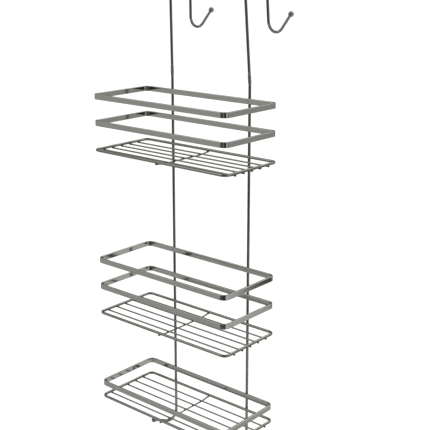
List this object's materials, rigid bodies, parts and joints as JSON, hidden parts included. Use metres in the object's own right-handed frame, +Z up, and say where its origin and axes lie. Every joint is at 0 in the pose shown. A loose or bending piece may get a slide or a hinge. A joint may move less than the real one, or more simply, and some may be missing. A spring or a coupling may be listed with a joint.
{
  "type": "over-door shower caddy",
  "caption": "Chrome wire shower caddy that hangs over a door: flat-railed baskets on two uprights, swivelling hook arms with towel hooks and ball tips.",
  "frame": {"origin": "on the top edge of the door, midway between the two hook arms, under their bends", "axes": "+Z up, +Y through the door to the towel hooks behind it, +X to the right as seen from the baskets, which are at -Y"},
  "size_m": [0.2626, 0.2166, 0.7636],
  "materials": {
    "flat_bar_chrome": "bright chrome plate on flat bar",
    "rod_chrome": "bright chrome plate on drawn 4.2 mm wire",
    "shelf_wire_chrome": "bright chrome plate on thin wire",
    "ball_tip_chrome": "polished chrome ball",
    "joint_sleeve_chrome": "turned sleeve, chrome plated"
  },
  "bodies": {
    "frame": {"bottom_rail": "flat_bar_chrome", "bottom_shelf_rim": "rod_chrome", "bottom_shelf_wire_1": "shelf_wire_chrome", "bottom_shelf_wire_2": "shelf_wire_chrome", "bottom_shelf_wire_3": "shelf_wire_chrome", "bottom_shelf_wire_4": "shelf_wire_chrome", "bottom_shelf_wire_5": "shelf_wire_chrome", "bottom_cross_wire": "shelf_wire_chrome", "middle_lower_rail": "flat_bar_chrome", "middle_upper_rail": "flat_bar_chrome", "middle_shelf_rim": "rod_chrome", "middle_shelf_wire_1": "shelf_wire_chrome", "middle_shelf_wire_2": "shelf_wire_chrome", "middle_shelf_wire_3": "shelf_wire_chrome", "middle_shelf_wire_4": "shelf_wire_chrome", "middle_shelf_wire_5": "shelf_wire_chrome", "middle_cross_wire": "shelf_wire_chrome", "top_lower_rail": "flat_bar_chrome", "top_upper_rail": "flat_bar_chrome", "top_shelf_rim": "rod_chrome", "top_shelf_wire_1": "shelf_wire_chrome", "top_shelf_wire_2": "shelf_wire_chrome", "top_shelf_wire_3": "shelf_wire_chrome", "top_shelf_wire_4": "shelf_wire_chrome", "top_shelf_wire_5": "shelf_wire_chrome", "top_cross_wire": "shelf_wire_chrome", "left_upright": "rod_chrome", "left_upright_ball_tip": "ball_tip_chrome", "left_joint_sleeve": "joint_sleeve_chrome", "right_upright": "rod_chrome", "right_upright_ball_tip": "ball_tip_chrome", "right_joint_sleeve": "joint_sleeve_chrome"},
    "left_arm": {"left_hook_arm": "rod_chrome", "left_hook_arm_ball_tip": "ball_tip_chrome"},
    "right_arm": {"right_hook_arm": "rod_chrome", "right_hook_arm_ball_tip": "ball_tip_chrome"}
  },
  "joints": [
    {"name": "left_arm_swivel", "type": "hinge", "parent": "frame", "child": "left_arm", "pos_m": [-0.0762, -0.01421, -0.17533], "axis": [0.0331, -0.0523, 0.9981], "range_deg": [-30, 180]},
    {"name": "right_arm_swivel", "type": "hinge", "parent": "frame", "child": "right_arm", "pos_m": [0.0762, -0.01421, -0.17533], "axis": [0.0331, 0.0523, -0.9981], "range_deg": [-30, 180]}
  ]
}
